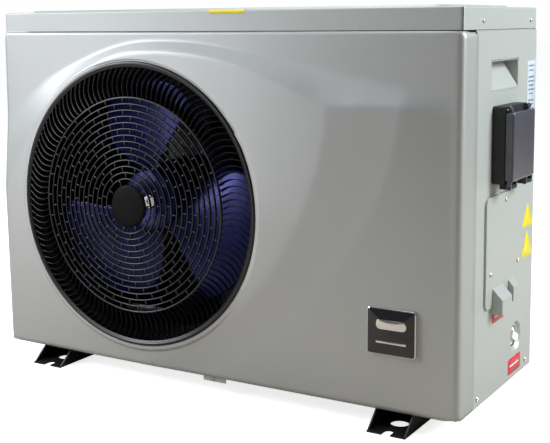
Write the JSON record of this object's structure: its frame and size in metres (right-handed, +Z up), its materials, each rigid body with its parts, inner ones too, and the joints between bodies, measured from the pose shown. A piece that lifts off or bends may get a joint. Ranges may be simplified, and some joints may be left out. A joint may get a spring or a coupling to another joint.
{
  "type": "pool heat pump unit",
  "caption": "Free-standing pool heat pump with a round front fan grille, side control box with a flip-up cover, rear water unions and two steel runners.",
  "frame": {"origin": "on the floor, in the middle of the four round runner holes", "axes": "+Z up, the fan side faces -Y, +X to the right of a person looking at the fan, where the control box is"},
  "size_m": [0.928, 0.434, 0.6485],
  "materials": {
    "cabinet_paint": "warm light grey powder coat, satin",
    "panel_plastic": "painted moulded front panel, satin",
    "runner_paint": "black powder coat",
    "grille_plastic": "black glossy moulding",
    "fan_plastic": "dark blue-black glossy moulding",
    "black_plastic": "black textured moulding",
    "smoke_cover": "smoke tinted polycarbonate",
    "screw_steel": "zinc plated",
    "galvanised": "galvanised sheet",
    "fins": "blue hydrophilic coated fins",
    "copper": "drawn copper tube",
    "compressor_paint": "black enamel",
    "motor_shell": "dark enamel",
    "rubber": "matt rubber",
    "vessel_plastic": "grey PVC",
    "white_plastic": "white moulding",
    "board": "circuit board",
    "screen": "liquid crystal display",
    "key_rubber": "silicone rubber",
    "badge_metal": "dark plate with bright rim",
    "label_film": "printed polyester film"
  },
  "bodies": {
    "cabinet": {"left_foot": "runner_paint", "right_foot": "runner_paint", "foot_bolts": "screw_steel", "base_pan": "galvanised", "front_panel": "panel_plastic", "left_side_panel": "cabinet_paint", "right_side_panel": "cabinet_paint", "rear_panel": "cabinet_paint", "coil_guards": "black_plastic", "top_cover": "cabinet_paint", "cabinet_screws": "screw_steel", "fan_grille": "grille_plastic", "fan_shroud": "black_plastic", "fan_motor": "motor_shell", "motor_bracket": "galvanised", "partition": "galvanised", "evaporator_coil": "fins", "compressor": "compressor_paint", "compressor_mounts": "rubber", "accumulator": "compressor_paint", "heat_exchanger": "vessel_plastic", "water_ports": "vessel_plastic", "union_tails": "vessel_plastic", "four_way_valve": "copper", "discharge_pipe": "copper", "suction_pipe": "copper", "condenser_pipe": "copper", "coil_pipe": "copper", "expansion_valve": "copper", "liquid_pipes": "copper", "electrical_tray": "galvanised", "inverter_board": "board", "heat_sink": "galvanised", "terminal_block": "black_plastic", "handle_recesses": "cabinet_paint", "service_cover": "cabinet_paint", "cable_glands": "black_plastic", "control_housing": "black_plastic", "hinge_pins": "screw_steel", "key_panel": "black_plastic", "display_screen": "screen", "display_board": "board", "badge": "badge_metal", "bottom_clip": "cabinet_paint", "side_labels": "label_film"},
    "fan_set": {"fan": "fan_plastic", "fan_nut": "screw_steel", "motor_shaft": "screw_steel"},
    "cover": {"control_cover": "smoke_cover"},
    "latch_front": {"front_latch": "black_plastic"},
    "latch_rear": {"rear_latch": "black_plastic"},
    "drain": {"drain_plug": "white_plastic"},
    "nut_inlet": {"inlet_nut": "vessel_plastic"},
    "nut_outlet": {"outlet_nut": "vessel_plastic"},
    "power_button": {"power_key": "key_rubber"},
    "mode_button": {"mode_key": "key_rubber"},
    "up_button": {"up_key": "key_rubber"},
    "timer_button": {"timer_key": "key_rubber"},
    "clock_button": {"clock_key": "key_rubber"},
    "down_button": {"down_key": "key_rubber"}
  },
  "joints": [
    {"name": "fan_spin", "type": "hinge", "parent": "cabinet", "child": "fan_set", "pos_m": [-0.1424, -0.11, 0.3133], "axis": [0, 1, 0], "continuous": true},
    {"name": "cover_lift", "type": "hinge", "parent": "cabinet", "child": "cover", "pos_m": [0.469, 0.012, 0.4885], "axis": [0, -1, 0], "range_deg": [0, 150]},
    {"name": "drain_turn", "type": "hinge", "parent": "cabinet", "child": "drain", "pos_m": [0.436, 0.088, 0.098], "axis": [1, 0, 0], "continuous": true},
    {"name": "inlet_nut_turn", "type": "hinge", "parent": "cabinet", "child": "nut_inlet", "pos_m": [0.346, 0.19, 0.15], "axis": [0, 1, 0], "continuous": true},
    {"name": "outlet_nut_turn", "type": "hinge", "parent": "cabinet", "child": "nut_outlet", "pos_m": [0.346, 0.19, 0.39], "axis": [0, 1, 0], "continuous": true},
    {"name": "front_latch_turn", "type": "hinge", "parent": "cover", "child": "latch_front", "pos_m": [0.473, -0.0255, 0.3675], "axis": [0, -1, 0], "range_deg": [0, 50], "stiffness_Nm_per_rad": 0.02, "springref_deg": -28.65},
    {"name": "rear_latch_turn", "type": "hinge", "parent": "cover", "child": "latch_rear", "pos_m": [0.473, 0.0495, 0.3675], "axis": [0, -1, 0], "range_deg": [0, 50], "stiffness_Nm_per_rad": 0.02, "springref_deg": -28.65},
    {"name": "power_press", "type": "slide", "parent": "cabinet", "child": "power_button", "axis": [-1, 0, 0], "range_m": [0, 0.001], "stiffness_N_per_m": 400, "springref_m": -0.0005},
    {"name": "mode_press", "type": "slide", "parent": "cabinet", "child": "mode_button", "axis": [-1, 0, 0], "range_m": [0, 0.001], "stiffness_N_per_m": 400, "springref_m": -0.0005},
    {"name": "up_press", "type": "slide", "parent": "cabinet", "child": "up_button", "axis": [-1, 0, 0], "range_m": [0, 0.001], "stiffness_N_per_m": 400, "springref_m": -0.0005},
    {"name": "timer_press", "type": "slide", "parent": "cabinet", "child": "timer_button", "axis": [-1, 0, 0], "range_m": [0, 0.001], "stiffness_N_per_m": 400, "springref_m": -0.0005},
    {"name": "clock_press", "type": "slide", "parent": "cabinet", "child": "clock_button", "axis": [-1, 0, 0], "range_m": [0, 0.001], "stiffness_N_per_m": 400, "springref_m": -0.0005},
    {"name": "down_press", "type": "slide", "parent": "cabinet", "child": "down_button", "axis": [-1, 0, 0], "range_m": [0, 0.001], "stiffness_N_per_m": 400, "springref_m": -0.0005}
  ]
}
